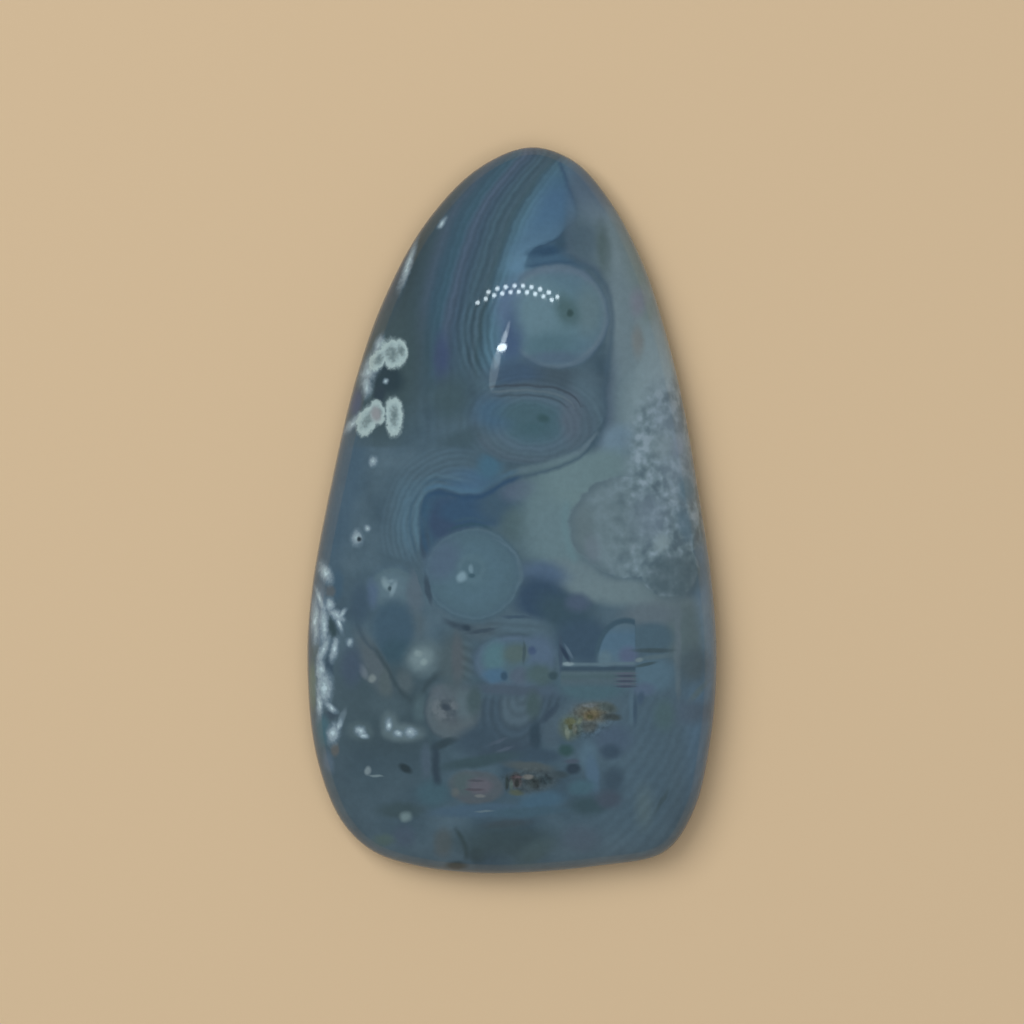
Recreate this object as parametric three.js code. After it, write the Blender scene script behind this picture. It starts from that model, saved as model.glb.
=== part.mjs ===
// A polished freeform agate: one solid stone, ground to a long drop with a domed face, a soft shoulder and a flat
// back that it rests on. Millimetres, +Z up. The drop's narrow tip points along +Y, the domed face is uppermost, and
// the origin is under the middle of the stone, on the plane of its flat back.
import * as THREE from "three";

// Driving dimensions
const THICKNESS = 7; // flat back to the top of the dome
const RIM_HEIGHT = 1.9; // height of the widest line round the stone above its back
const FLAT_SHARE = 0.87; // how far out the flat back reaches, as a share of the way to the rim
const SHOULDER = 2.15; // fullness of the dome's curve: 2 is an ellipse, more gives a squarer shoulder
const PEAK = new THREE.Vector3(0.1, -2.2, 0); // the spot under the highest point of the dome
const HALF_WIDTH = 14.1;
const HALF_LENGTH = 25;

// Points of the rim as seen from above, clockwise from the tip. The stone was ground by hand, so its left side is
// fuller than its right, and its lower right corner is tighter than its lower left one.
const RIM_POINTS = [
  [1.25, 25.0], // tip
  [4.25, 24.05],
  [6.75, 21.3],
  [9.0, 17.05],
  [10.5, 12.55],
  [11.75, 7.55],
  [12.85, 1.25],
  [13.75, -4.8],
  [14.1, -10.15], // widest place on the right
  [13.7, -15.6],
  [12.5, -20.7],
  [10.5, -23.5], // tight corner
  [5.85, -24.5],
  [-1.75, -25.0], // lowest place
  [-6.7, -24.45],
  [-9.7, -23.4],
  [-11.8, -21.3], // full corner
  [-13.5, -16.85],
  [-14.1, -10.65], // widest place on the left
  [-13.8, -5.5],
  [-12.4, 2.1],
  [-10.75, 9.1],
  [-8.8, 14.6],
  [-6.05, 19.65],
  [-2.4, 23.5],
];

// Fineness of the faceted solid
const STEPS_ROUND = 96;
const DOME_STEPS = 34;
const EDGE_STEPS = 7;

const rim = new THREE.CatmullRomCurve3(
  RIM_POINTS.map(([x, y]) => new THREE.Vector3(x, y, 0)),
  true,
  "centripetal",
);

// The stone's section as a curve from the middle of the back, round the rim, to the top of the dome. Each point holds
// a share of the way out to the rim, and a height.
function section() {
  const points = [new THREE.Vector2(0, 0)];
  for (let i = 0; i <= EDGE_STEPS; i++) {
    const turn = (i / EDGE_STEPS) * (Math.PI / 2);
    const out = FLAT_SHARE + (1 - FLAT_SHARE) * Math.sin(turn);
    points.push(new THREE.Vector2(out, RIM_HEIGHT * (1 - Math.cos(turn))));
  }
  for (let i = 1; i < DOME_STEPS; i++) {
    const turn = (i / DOME_STEPS) * (Math.PI / 2);
    const out = Math.cos(turn) ** (2 / SHOULDER);
    const up = Math.sin(turn) ** (2 / SHOULDER);
    points.push(new THREE.Vector2(out, RIM_HEIGHT + (THICKNESS - RIM_HEIGHT) * up));
  }
  points.push(new THREE.Vector2(0, THICKNESS));
  return points;
}

// The place on the stone at a share of the way from the peak to the rim. The dome's level lines follow the rim near
// the rim, and round off to an ellipse near the peak.
function placeOnPlan(aroundRim, share) {
  const reach = rim.getPointAt(aroundRim).sub(PEAK);
  const toRim = reach.length();
  const direction = reach.divideScalar(toRim);
  const toEllipse = 1 / Math.hypot(direction.x / HALF_WIDTH, direction.y / HALF_LENGTH);
  const distance = share * THREE.MathUtils.lerp(toEllipse, toRim, THREE.MathUtils.smoothstep(share, 0, 1));
  return direction.multiplyScalar(distance).add(PEAK);
}

// The section turned round an upright axis, then drawn out from a circle to the drop shape.
function stoneGeometry() {
  const turned = new THREE.LatheGeometry(section(), STEPS_ROUND);
  turned.rotateX(Math.PI / 2);
  const places = turned.getAttribute("position");
  const place = new THREE.Vector3();
  for (let i = 0; i < places.count; i++) {
    place.fromBufferAttribute(places, i);
    const share = Math.hypot(place.x, place.y);
    const turn = Math.atan2(place.x, place.y) / (2 * Math.PI);
    const step = Math.round(turn * STEPS_ROUND + STEPS_ROUND) % STEPS_ROUND;
    const onPlan = placeOnPlan(step / STEPS_ROUND, share);
    places.setXYZ(i, onPlan.x, onPlan.y, place.z);
  }
  turned.computeVertexNormals();
  return turned;
}

// Moves a geometry so that the origin lies under the middle of its box, on its lowest plane.
function standOnOrigin(geometry) {
  geometry.computeBoundingBox();
  const middle = geometry.boundingBox.getCenter(new THREE.Vector3());
  return geometry.translate(-middle.x, -middle.y, -geometry.boundingBox.min.z);
}

const agate = new THREE.Mesh(
  standOnOrigin(stoneGeometry()),
  new THREE.MeshStandardMaterial({ color: 0x4a6170, roughness: 0.12, metalness: 0 }),
);
agate.name = "agate";

const stone = new THREE.Group();
stone.add(agate);

export default stone;
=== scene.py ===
import math

import bmesh
import bpy
import numpy as np
from mathutils import Matrix, Vector
from mathutils.bvhtree import BVHTree


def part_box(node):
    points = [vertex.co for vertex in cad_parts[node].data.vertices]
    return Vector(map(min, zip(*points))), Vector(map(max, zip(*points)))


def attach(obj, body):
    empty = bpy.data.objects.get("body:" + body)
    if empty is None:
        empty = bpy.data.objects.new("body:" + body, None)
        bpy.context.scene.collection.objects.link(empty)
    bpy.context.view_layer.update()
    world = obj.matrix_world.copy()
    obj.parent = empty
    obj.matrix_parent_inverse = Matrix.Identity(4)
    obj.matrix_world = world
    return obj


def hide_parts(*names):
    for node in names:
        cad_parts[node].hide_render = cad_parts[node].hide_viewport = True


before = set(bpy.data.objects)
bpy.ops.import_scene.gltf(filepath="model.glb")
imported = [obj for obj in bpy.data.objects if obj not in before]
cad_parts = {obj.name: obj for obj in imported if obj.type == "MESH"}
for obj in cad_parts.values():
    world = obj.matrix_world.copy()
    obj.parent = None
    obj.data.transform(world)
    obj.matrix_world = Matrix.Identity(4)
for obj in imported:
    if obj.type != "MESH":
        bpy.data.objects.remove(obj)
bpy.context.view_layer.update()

MM = 0.001

# The stone's form in millimetres: the same drop, dome and flat back as the solid, with finer steps.
THICKNESS = 7
RIM_HEIGHT = 1.9
FLAT_SHARE = 0.87
SHOULDER = 2.15
PEAK = Vector((0.1, -2.2))
HALF_WIDTH = 14.1
HALF_LENGTH = 25
RIM_POINTS = [
    (1.25, 25.0), (4.25, 24.05), (6.75, 21.3), (9.0, 17.05), (10.5, 12.55), (11.75, 7.55), (12.85, 1.25),
    (13.75, -4.8), (14.1, -10.15), (13.7, -15.6), (12.5, -20.7), (10.5, -23.5), (5.85, -24.5),
    (-1.75, -25.0), (-6.7, -24.45), (-9.7, -23.4), (-11.8, -21.3), (-13.5, -16.85), (-14.1, -10.65),
    (-13.8, -5.5), (-12.4, 2.1), (-10.75, 9.1), (-8.8, 14.6), (-6.05, 19.65), (-2.4, 23.5),
]
STEPS_BETWEEN_POINTS = 40
STEPS_ROUND = 384
DOME_STEPS = 96
EDGE_STEPS = 16
BACK_STEPS = 8
# Where the middles of the face and of the back lie across the map, and the map's share of a millimetre.
FACE_ON_MAP = (0.29, 0.0194)
BACK_ON_MAP = (0.785, 0.0145)


def rim_places(count):
    """Places at equal lengths along the smooth closed curve through RIM_POINTS, clockwise from the tip."""
    points = [Vector(point) for point in RIM_POINTS]
    walk = []
    for i in range(len(points)):
        before, start, end, after = (points[(i + step) % len(points)] for step in (-1, 0, 1, 2))
        gap_before, gap, gap_after = (math.sqrt((b - a).length) for a, b in
                                      ((before, start), (start, end), (end, after)))
        leaving = (start - before) / gap_before - (end - before) / (gap_before + gap) + (end - start) / gap
        coming = (end - start) / gap - (after - start) / (gap + gap_after) + (after - end) / gap_after
        for step in range(STEPS_BETWEEN_POINTS):
            t = step / STEPS_BETWEEN_POINTS
            walk.append(
                start * (2 * t**3 - 3 * t**2 + 1)
                + leaving * gap * (t**3 - 2 * t**2 + t)
                + end * (3 * t**2 - 2 * t**3)
                + coming * gap * (t**3 - t**2)
            )
    walk.append(walk[0])
    run = np.cumsum([0] + [(b - a).length for a, b in zip(walk, walk[1:])])
    wanted = np.arange(count) / count * run[-1]
    xs = np.interp(wanted, run, [place.x for place in walk])
    ys = np.interp(wanted, run, [place.y for place in walk])
    return [Vector(place) for place in zip(xs, ys)]


def section():
    """The section as shares of the way out and heights, from the back's middle round the rim to the top."""
    points = [(FLAT_SHARE * step / BACK_STEPS, 0) for step in range(BACK_STEPS)]
    for step in range(EDGE_STEPS + 1):
        turn = step / EDGE_STEPS * math.pi / 2
        out = FLAT_SHARE + (1 - FLAT_SHARE) * math.sin(turn)
        points.append((out, RIM_HEIGHT * (1 - math.cos(turn))))
    for step in range(1, DOME_STEPS):
        turn = step / DOME_STEPS * math.pi / 2
        out = math.cos(turn) ** (2 / SHOULDER)
        up = math.sin(turn) ** (2 / SHOULDER)
        points.append((out, RIM_HEIGHT + (THICKNESS - RIM_HEIGHT) * up))
    points.append((0, THICKNESS))
    return points


def place_on_plan(rim_place, share):
    """The place at a share of the way from the peak to the rim. Level lines near the peak are ellipses."""
    reach = rim_place - PEAK
    direction = reach.normalized()
    to_ellipse = 1 / math.hypot(direction.x / HALF_WIDTH, direction.y / HALF_LENGTH)
    blend = share * share * (3 - 2 * share)
    return PEAK + direction * share * (to_ellipse + (reach.length - to_ellipse) * blend)


def spin_section():
    """The section spun round an upright axis: a round stone, which is then drawn out to the drop shape."""
    stone = bmesh.new()
    corners = [stone.verts.new((share, 0, height)) for share, height in section()]
    lines = [stone.edges.new(ends) for ends in zip(corners, corners[1:])]
    bmesh.ops.spin(stone, geom=corners + lines, axis=(0, 0, 1), cent=(0, 0, 0), angle=2 * math.pi,
                   steps=STEPS_ROUND, use_merge=True)
    bmesh.ops.remove_doubles(stone, verts=stone.verts, dist=1e-5)
    bmesh.ops.recalc_face_normals(stone, faces=stone.faces)
    return stone


def lay_out_map(stone, rim):
    """Lays the face and the back out flat, side by side, in the UV map named OFBake."""
    layer = stone.loops.layers.uv.new("OFBake")
    reach = (HALF_WIDTH + HALF_LENGTH) / 2
    dome = [(share * reach, height) for share, height in section() if height >= RIM_HEIGHT - 1e-9]
    lengths = np.cumsum([0] + [math.dist(a, b) for a, b in zip(dome, dome[1:])])
    heights = [height for _, height in dome]
    for face in stone.faces:
        on_dome = face.calc_center_median().z > RIM_HEIGHT
        for loop in face.loops:
            place = loop.vert.co
            share = math.hypot(place.x, place.y)
            if on_dome:
                share = 1 - np.interp(place.z, heights, lengths) / lengths[-1]
            flat = place_on_plan(rim[rim_step(place)], share)
            middle, per_mm = FACE_ON_MAP if on_dome else BACK_ON_MAP
            loop[layer].uv = (middle + flat.x * per_mm, 0.5 + flat.y * per_mm)


def rim_step(place):
    """Which of the rim's steps, counted clockwise from the tip, a place on the round stone belongs to."""
    return round(math.atan2(place.x, place.y) / (2 * math.pi) * STEPS_ROUND) % STEPS_ROUND


def fit_to_box(stone, low, high):
    """Slides the mesh so that it fills a box in metres, as the solid that it replaces does."""
    places = np.array([vertex.co for vertex in stone.verts])
    size = [(high[i] - low[i]) / (places[:, i].max() - places[:, i].min()) for i in range(3)]
    bmesh.ops.translate(stone, verts=stone.verts, vec=-Vector(places.min(axis=0)))
    bmesh.ops.scale(stone, verts=stone.verts, vec=size)
    bmesh.ops.translate(stone, verts=stone.verts, vec=low)


def make_stone():
    """The stone's mesh, and a tree of it that tells where a line from above meets the polished face."""
    rim = rim_places(STEPS_ROUND)
    stone = spin_section()
    lay_out_map(stone, rim)
    for vertex in stone.verts:
        share = math.hypot(vertex.co.x, vertex.co.y)
        vertex.co.xy = place_on_plan(rim[rim_step(vertex.co)], share)
    fit_to_box(stone, *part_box("agate"))
    for face in stone.faces:
        face.smooth = True
    mesh = bpy.data.meshes.new("agate_stone")
    stone.to_mesh(mesh)
    polish = BVHTree.FromBMesh(stone)
    stone.free()
    piece = bpy.data.objects.new("agate_stone", mesh)
    bpy.context.collection.objects.link(piece)
    return piece, polish


class Value:
    """A number that changes over the surface. It wraps a socket, and arithmetic on it adds Math nodes."""

    def __init__(self, graph, socket):
        self.graph = graph
        self.socket = socket

    def math(self, operation, other=0.0):
        return self.graph.node("ShaderNodeMath", {"operation": operation}, {0: self, 1: other})

    def __add__(self, other):
        return self.math("ADD", other)

    def __sub__(self, other):
        return self.math("SUBTRACT", other)

    def __mul__(self, other):
        return self.math("MULTIPLY", other)

    def __abs__(self):
        return self.math("ABSOLUTE")

    def waves(self, spacing, wander=0.0):
        """Waves from -1 to 1 along this number, a spacing apart, pushed to and fro by another number."""
        phase = self * (2 * math.pi / spacing)
        return (phase + wander if wander else phase).math("SINE")

    def least(self, other):
        return self.math("MINIMUM", other)

    def most(self, other):
        return self.math("MAXIMUM", other)

    def rise(self, start, end):
        """Goes smoothly from 0 at start to 1 at end. Where end is smaller, it falls as the number grows."""
        settings = {"interpolation_type": "SMOOTHSTEP", "clamp": False}
        return self.graph.node("ShaderNodeMapRange", settings, {0: self, 1: start, 2: end})

    def curve(self, points):
        """A smooth curve through given points (this number, the curve's number)."""
        return self.graph.node("ShaderNodeFloatCurve", {"curve": points}, {"Value": self})

    def ramp(self, stops, low=0.0, high=1.0):
        """Colours at stops of this number, blended between them."""
        share = self.graph.node("ShaderNodeMapRange", {"clamp": False}, {0: self, 1: low, 2: high})
        spread = [((at - low) / (high - low), colour) for at, colour in stops]
        return self.graph.node("ShaderNodeValToRGB", {"stops": spread}, {0: share})


class Graph:
    """The nodes of one material."""

    def __init__(self, material):
        material.use_nodes = True
        self.tree = material.node_tree
        self.tree.nodes.clear()

    def node(self, kind, settings=None, inputs=None, output=0):
        """Adds a node: its type, its settings, which are set first, and its sockets' values or links."""
        made = self.tree.nodes.new(kind)
        for name, setting in (settings or {}).items():
            if name == "stops":
                set_stops(made.color_ramp, setting)
            elif name == "curve":
                set_curve(made.mapping, setting)
            else:
                setattr(made, name, setting)
        for name, given in (inputs or {}).items():
            if isinstance(given, Value):
                self.tree.links.new(given.socket, made.inputs[name])
            else:
                made.inputs[name].default_value = given
        return Value(self, made.outputs[output]) if made.outputs else None

    def vector(self, operation, first, second=(0, 0, 0), third=(0, 0, 0), scale=1.0, output=0):
        inputs = {0: first, 1: second, 2: third}
        if operation == "SCALE":
            inputs = {0: first, "Scale": scale}
        return self.node("ShaderNodeVectorMath", {"operation": operation}, inputs, output)

    def mix(self, share, under, over):
        """Colour over on colour under, by a share from 0 to 1."""
        settings = {"data_type": "RGBA", "clamp_factor": True}
        return self.node("ShaderNodeMix", settings, {0: share, 6: under, 7: over}, output=2)

    def noise(self, place, scale, detail=2.0, roughness=0.5, output=0):
        inputs = {"Vector": place, "Scale": scale, "Detail": detail, "Roughness": roughness}
        return self.node("ShaderNodeTexNoise", {}, inputs, output)


def set_stops(color_ramp, stops):
    """Sets a colour ramp's stops: (position, colour as seen on a screen)."""
    elements = color_ramp.elements
    elements.remove(elements[1])
    for index, (position, colour) in enumerate(stops):
        element = elements[0] if index == 0 else elements.new(position)
        element.position = position
        element.color = tint(*colour)


def set_curve(mapping, points):
    """Sets a float curve's points: (number in, number out), in rising order."""
    mapping.use_clip = False
    mapping.extend = "HORIZONTAL"
    curve = mapping.curves[0]
    curve.points[0].location = points[0]
    curve.points[1].location = points[-1]
    for point in points[1:-1]:
        curve.points.new(*point)
    mapping.update()


def tint(red, green, blue):
    """A colour as seen on a screen, each part from 0 to 255, as the linear colour that a shader takes."""
    parts = [part / 255 for part in (red, green, blue)]
    return (*(part / 12.92 if part <= 0.04045 else ((part + 0.055) / 1.055) ** 2.4 for part in parts), 1.0)


class Plane:
    """The stone's plan in millimetres, on which ovals and gentle curves are measured."""

    def __init__(self, graph, place):
        self.graph = graph
        self.place = place
        self.x = graph.vector("DOT_PRODUCT", place, (1, 0, 0), output=1)
        self.y = graph.vector("DOT_PRODUCT", place, (0, 1, 0), output=1)
        self.turned = {0: place}

    def turn(self, degrees):
        """The plane's places after it is turned back by some degrees. Each turn is made once."""
        if degrees not in self.turned:
            cosine, sine = math.cos(math.radians(degrees)), math.sin(math.radians(degrees))
            x = self.graph.vector("DOT_PRODUCT", self.place, (cosine, sine, 0), output=1)
            y = self.graph.vector("DOT_PRODUCT", self.place, (-sine, cosine, 0), output=1)
            self.turned[degrees] = self.graph.node("ShaderNodeCombineXYZ", {}, {0: x, 1: y})
        return self.turned[degrees]

    def oval(self, centre, radii, turn=0):
        """How far out a place lies in an oval turned by some degrees: 0 in the middle and 1 at its edge."""
        middle = Matrix.Rotation(math.radians(-turn), 2) @ Vector(centre)
        spread = (1 / radii[0], 1 / radii[1], 0)
        shift = (-middle.x / radii[0], -middle.y / radii[1], 0)
        inside = self.graph.vector("MULTIPLY_ADD", self.turn(turn), spread, shift)
        return self.graph.vector("LENGTH", inside, output=1)

    def trace(self, points):
        """How far a place is to one side of a gentle curve, then how far along, and the start and end."""
        across = abs(points[-1][0] - points[0][0])
        along = abs(points[-1][1] - points[0][1])
        if across >= along:
            rising = sorted(points)
            return self.y - self.x.curve(rising), self.x, rising[0][0], rising[-1][0]
        rising = sorted((y, x) for x, y in points)
        return self.x - self.y.curve(rising), self.y, rising[0][0], rising[-1][0]


class Markings:
    """The stone's markings, laid one over another on a plane."""

    def __init__(self, graph, solid, plane, ground):
        self.graph = graph
        self.solid = solid
        self.plane = plane
        self.colour = ground

    def lay(self, share, colour):
        """Lays a ramp's colour, or a plain one as seen on a screen, over what is there, by a share."""
        over = colour if isinstance(colour, Value) else tint(*colour)
        self.colour = self.graph.mix(share, self.colour, over)

    def shade(self, factor):
        """Makes the markings so far lighter or darker by a factor that changes over the stone."""
        inputs = {"Value": factor, "Color": self.colour}
        self.colour = self.graph.node("ShaderNodeHueSaturation", {}, inputs)

    def patch(self, centre, radii, colour, soft=0.6, turn=0, share=1.0):
        """An oval patch of one colour. Soft is the width of its edge, as a share of the radius."""
        edge = self.plane.oval(centre, radii, turn).rise(1 + soft / 2, 1 - soft / 2)
        self.lay(edge * share if share != 1.0 else edge, colour)

    def patches(self, rows):
        """Patches one after another. Each row gives what patch takes, in the same order."""
        for row in rows:
            self.patch(*row)

    def eye(self, centre, radii, stops, turn=0, soft=0.05):
        """An eye of the agate: colours at shares of the way out, inside an edge."""
        out = self.plane.oval(centre, radii, turn)
        self.lay(out.rise(1 + soft, 1 - soft), out.ramp(stops))
        return out

    def line(self, points, width, colour, soft=0.1, share=1.0, fade=0.4):
        """A thin line along a gentle curve, which fades out over its ends."""
        aside, run, start, end = self.plane.trace(points)
        mask = abs(aside).rise(width / 2 + soft, width / 2 - soft)
        mask = mask * run.rise(start - fade, start + fade) * run.rise(end + fade, end - fade)
        self.lay(mask * share if share != 1.0 else mask, colour)


def growth_columns(marks):
    """The fine upright growth bands of the upper left, which lean over towards the tip."""
    graph, plane = marks.graph, marks.plane
    lean = plane.y.curve([(5, -1.0), (10, -1.0), (13, -0.7), (16, 0), (18, 0.6), (20, 1.3), (22, 2.6),
                          (24.5, 4.6)])
    across = plane.x - lean
    bands = across.ramp([
        (-9.5, (60, 80, 96)), (-8.2, (54, 72, 88)), (-7.0, (49, 66, 72)), (-6.2, (54, 73, 82)),
        (-5.5, (64, 82, 97)), (-5.0, (55, 79, 94)), (-4.3, (58, 86, 101)), (-3.7, (70, 87, 105)),
        (-3.1, (60, 80, 96)), (-2.4, (66, 89, 102)), (-1.9, (61, 82, 94)), (-1.65, (69, 91, 103)),
        (-1.4, (60, 82, 92)), (-1.1, (66, 92, 106)), (-0.6, (76, 107, 123)), (0.5, (86, 118, 138)),
    ], -9.5, 0.5)
    marks.lay(plane.y.rise(7.0, 11.0) * across.rise(2.2, 0.2), bands)
    wander = graph.noise(marks.solid, 0.5, 2.0) * 5
    near = across.rise(-6.0, -3.5) * across.rise(1.0, -0.8) * plane.y.rise(11.0, 14.0)
    marks.shade(across.waves(0.45, wander) * near * 0.075 + 1)
    out = plane.oval((1.6, 12.2), (1, 1.2))
    arcs = out.rise(2.4, 3.2) * out.rise(6.2, 4.6) * plane.x.rise(-0.2, -1.4) * plane.y.rise(8.6, 9.8)
    arcs = arcs * plane.y.rise(15.5, 13.8)
    marks.shade(out.waves(0.5, wander * 0.5) * arcs * 0.16 + 1)


def left_streaks(marks):
    """Faint upright streaks and darker blotches between the chalk and the lower large eye."""
    plane = marks.plane
    wander = marks.graph.noise(marks.solid, 0.5, 2.0) * 6
    near = plane.oval((-4.6, 8.6), (2.9, 5.0)).rise(1.1, 0.7)
    marks.shade(plane.x.waves(0.75, wander) * near * 0.05 + 1)
    marks.patches([
        ((-4.9, 10.4), (0.55, 1.6), (60, 75, 102), 1.3),
        ((-4.3, 7.7), (1.3, 1.5), (62, 82, 88), 1.3, 0, 0.8),
        ((-3.5, 4.9), (1.4, 0.6), (62, 82, 90), 1.5, 20, 0.7),
    ])


def blue_flame(marks):
    """The light blue lobe below the tip, with a dark line down its right side and dark layers under it."""
    plane = marks.plane
    right = [(3.3, 24.0), (3.55, 23.2), (3.9, 22.0), (4.4, 20.7), (4.3, 19.8), (3.65, 19.2), (3.2, 18.7),
             (2.3, 18.2), (1.5, 17.9), (1.0, 17.2), (0.8, 15.8)]
    left = [(2.4, 24.0), (1.6, 21.6), (0.6, 19.4), (-0.5, 17.6), (-0.8, 15.8)]
    marks.patches([
        ((5.4, 20.9), (1.2, 3.0), (70, 90, 111), 1.2, 20),
        ((4.4, 18.3), (1.5, 1.3), (62, 86, 104), 1.2, -20),
        ((2.6, 17.3), (2.3, 1.0), (64, 92, 113), 0.9, -10),
    ])
    from_right, run, start, end = plane.trace(right)
    from_left = plane.trace(left)[0]
    inside = from_right.rise(0.12, -0.12) * from_left.rise(-0.5, 1.3) * run.rise(start, start + 0.8)
    inside = inside * run.rise(end + 0.2, end - 1.4)
    marks.lay(inside, run.ramp([
        (15.5, (92, 126, 150)), (17.2, (88, 120, 141)), (18.6, (78, 108, 130)), (20.0, (72, 103, 128)),
        (21.5, (69, 99, 125)), (23.5, (66, 98, 116)),
    ], 15.5, 23.5))
    marks.patch((2.4, 17.75), (1.3, 0.32), (48, 74, 96), 1.2, 10)
    marks.patch((3.5, 18.35), (0.6, 0.45), (50, 75, 92), 1.2, 20)
    marks.line([(0.9, 16.7), (1.8, 16.75), (3.0, 16.9), (4.2, 16.95)], 0.22, (50, 76, 98), soft=0.2,
               share=0.8)
    marks.line(right[:6], 0.3, (46, 72, 98), soft=0.25, share=0.75)
    marks.line(right[5:9], 0.2, (46, 70, 92), soft=0.2, share=0.7)


CONTOUR = [(3.4, 17.6), (4.4, 17.0), (5.5, 16.4), (6.2, 15.6), (6.65, 14.4), (6.8, 12.8), (6.7, 11.0),
           (6.45, 9.5), (6.2, 8.0), (6.15, 6.5), (5.95, 5.3), (5.2, 4.0), (3.6, 2.9)]


def pale_band(marks):
    """The pale grey-green growth down the right side, outside the lobed contour line."""
    plane = marks.plane
    outside = plane.trace(CONTOUR)[0]
    below_tip = plane.y.rise(22.5, 17.0)
    marks.lay(outside.rise(-0.1, 0.5) * plane.y.rise(1.8, 3.4) * (below_tip * 0.8 + 0.2), outside.ramp([
        (0.0, (66, 86, 102)), (0.5, (82, 100, 114)), (1.2, (103, 123, 131)), (2.2, (119, 139, 146)),
        (3.4, (129, 149, 157)), (4.4, (142, 163, 172)),
    ], 0, 4.4))
    marks.patches([
        ((11.1, 6.4), (0.6, 1.2), (128, 146, 160), 1.4, 8),
        ((9.6, 6.2), (0.5, 1.4), (102, 121, 126), 1.4, -16),
        ((7.3, 4.6), (1.3, 1.2), (104, 127, 142), 0.9, 20),
    ])


def pale_side(marks):
    """The lighter and darker streaks in the pale growth, and the contour line beside it."""
    marks.patches([
        ((4.9, 18.3), (1.4, 1.7), (66, 86, 99), 1.3, 20, 0.8),
        ((7.4, 18.8), (0.7, 1.6), (106, 125, 132), 1.2, 18),
        ((8.3, 16.8), (0.9, 2.2), (111, 129, 131), 1.2, 14),
        ((6.35, 17.7), (0.55, 1.9), (78, 96, 99), 1.3, 8),
        ((7.5, 13.2), (0.9, 4.8), (107, 126, 134), 1.4, 4),
        ((8.6, 11.6), (0.4, 1.0), (115, 124, 126), 1.4),
        ((9.2, 13.6), (0.6, 0.9), (114, 133, 136), 1.4),
        ((8.6, 14.2), (0.5, 0.9), (116, 124, 136), 1.4),
    ])
    marks.line(CONTOUR, 0.3, (68, 89, 104), soft=0.22, share=0.7)


def upper_eye(marks):
    """The upper large eye: a blue-green round with a small dark green pupil and a pale rim."""
    plane = marks.plane
    out = plane.oval((3.05, 13.2), (3.55, 3.65))
    marks.lay(out.rise(1.05, 0.96) * plane.x.rise(-0.9, 1.2), out.ramp([
        (0.0, (88, 116, 125)), (0.4, (89, 117, 128)), (0.7, (85, 112, 126)), (0.84, (86, 111, 125)),
        (0.91, (94, 114, 127)), (0.96, (87, 107, 122)), (1.0, (74, 96, 112)),
    ]))
    marks.patches([
        ((-0.1, 13.9), (1.0, 1.6), (84, 106, 130), 1.2, -10),
        ((0.1, 11.9), (0.8, 1.9), (66, 87, 114), 1.2, -10),
        ((1.7, 13.6), (1.4, 2.0), (95, 122, 133), 1.2),
        ((2.6, 11.2), (1.6, 0.9), (79, 107, 118), 1.2),
        ((3.0, 10.4), (1.6, 0.45), (80, 101, 118), 1.2),
        ((5.2, 13.6), (0.9, 1.6), (93, 116, 124), 1.2),
        ((3.75, 13.65), (0.7, 1.0), (74, 99, 104), 1.3, 30),
        ((3.95, 13.5), (0.2, 0.24), (54, 76, 78), 1.1),
    ])
    marks.line([(0.4, 15.9), (1.4, 16.25), (3.0, 16.45), (4.4, 16.3), (5.4, 15.7)], 0.45, (90, 109, 126),
               soft=0.3, share=0.6)


def lower_eye(marks):
    """The lower large eye, wide and ringed by many fine brown-grey growth lines."""
    marks.patches([
        ((2.2, 9.0), (3.8, 0.75), (66, 83, 94), 0.9, -2),
        ((0.2, 9.3), (1.6, 1.0), (63, 84, 104), 1.2),
        ((5.0, 6.6), (1.2, 3.0), (80, 101, 113), 1.0),
    ])
    out = marks.eye((1.4, 5.9), (4.2, 2.85), [
        (0.0, (62, 90, 99)), (0.22, (66, 93, 103)), (0.42, (71, 97, 109)), (0.6, (79, 100, 114)),
        (0.75, (76, 96, 108)), (0.9, (76, 94, 106)), (1.0, (72, 90, 103)),
    ], turn=-4, soft=0.12)
    marks.patches([
        ((4.0, 6.4), (0.7, 1.6), (82, 97, 110), 1.2),
        ((-1.3, 6.6), (1.3, 1.1), (67, 94, 114), 1.3),
        ((1.0, 6.7), (1.8, 0.7), (68, 94, 104), 1.2),
    ])
    wander = marks.graph.noise(marks.solid, 0.6, 2.0) * 4
    rings = out.waves(0.125, wander)
    marks.shade(rings * out.rise(0.3, 0.55) * out.rise(1.35, 1.1) * 0.04 + 1)
    marks.patch((2.15, 6.3), (0.42, 0.3), (56, 82, 88), 1.1, -20)
    marks.line([(-1.6, 8.35), (0.0, 8.5), (1.6, 8.45), (3.0, 8.3), (4.0, 7.9), (4.65, 7.1)], 0.16,
               (56, 66, 76), share=0.7)
    marks.line([(-1.4, 8.05), (0.4, 8.15), (2.0, 8.1), (3.0, 7.9), (3.8, 7.5), (4.2, 7.0)], 0.12,
               (100, 116, 124), share=0.5)
    marks.line([(-1.2, 7.8), (0.6, 7.85), (2.2, 7.75), (3.1, 7.5), (3.7, 7.0)], 0.14,
               (58, 72, 82), share=0.6)


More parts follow.
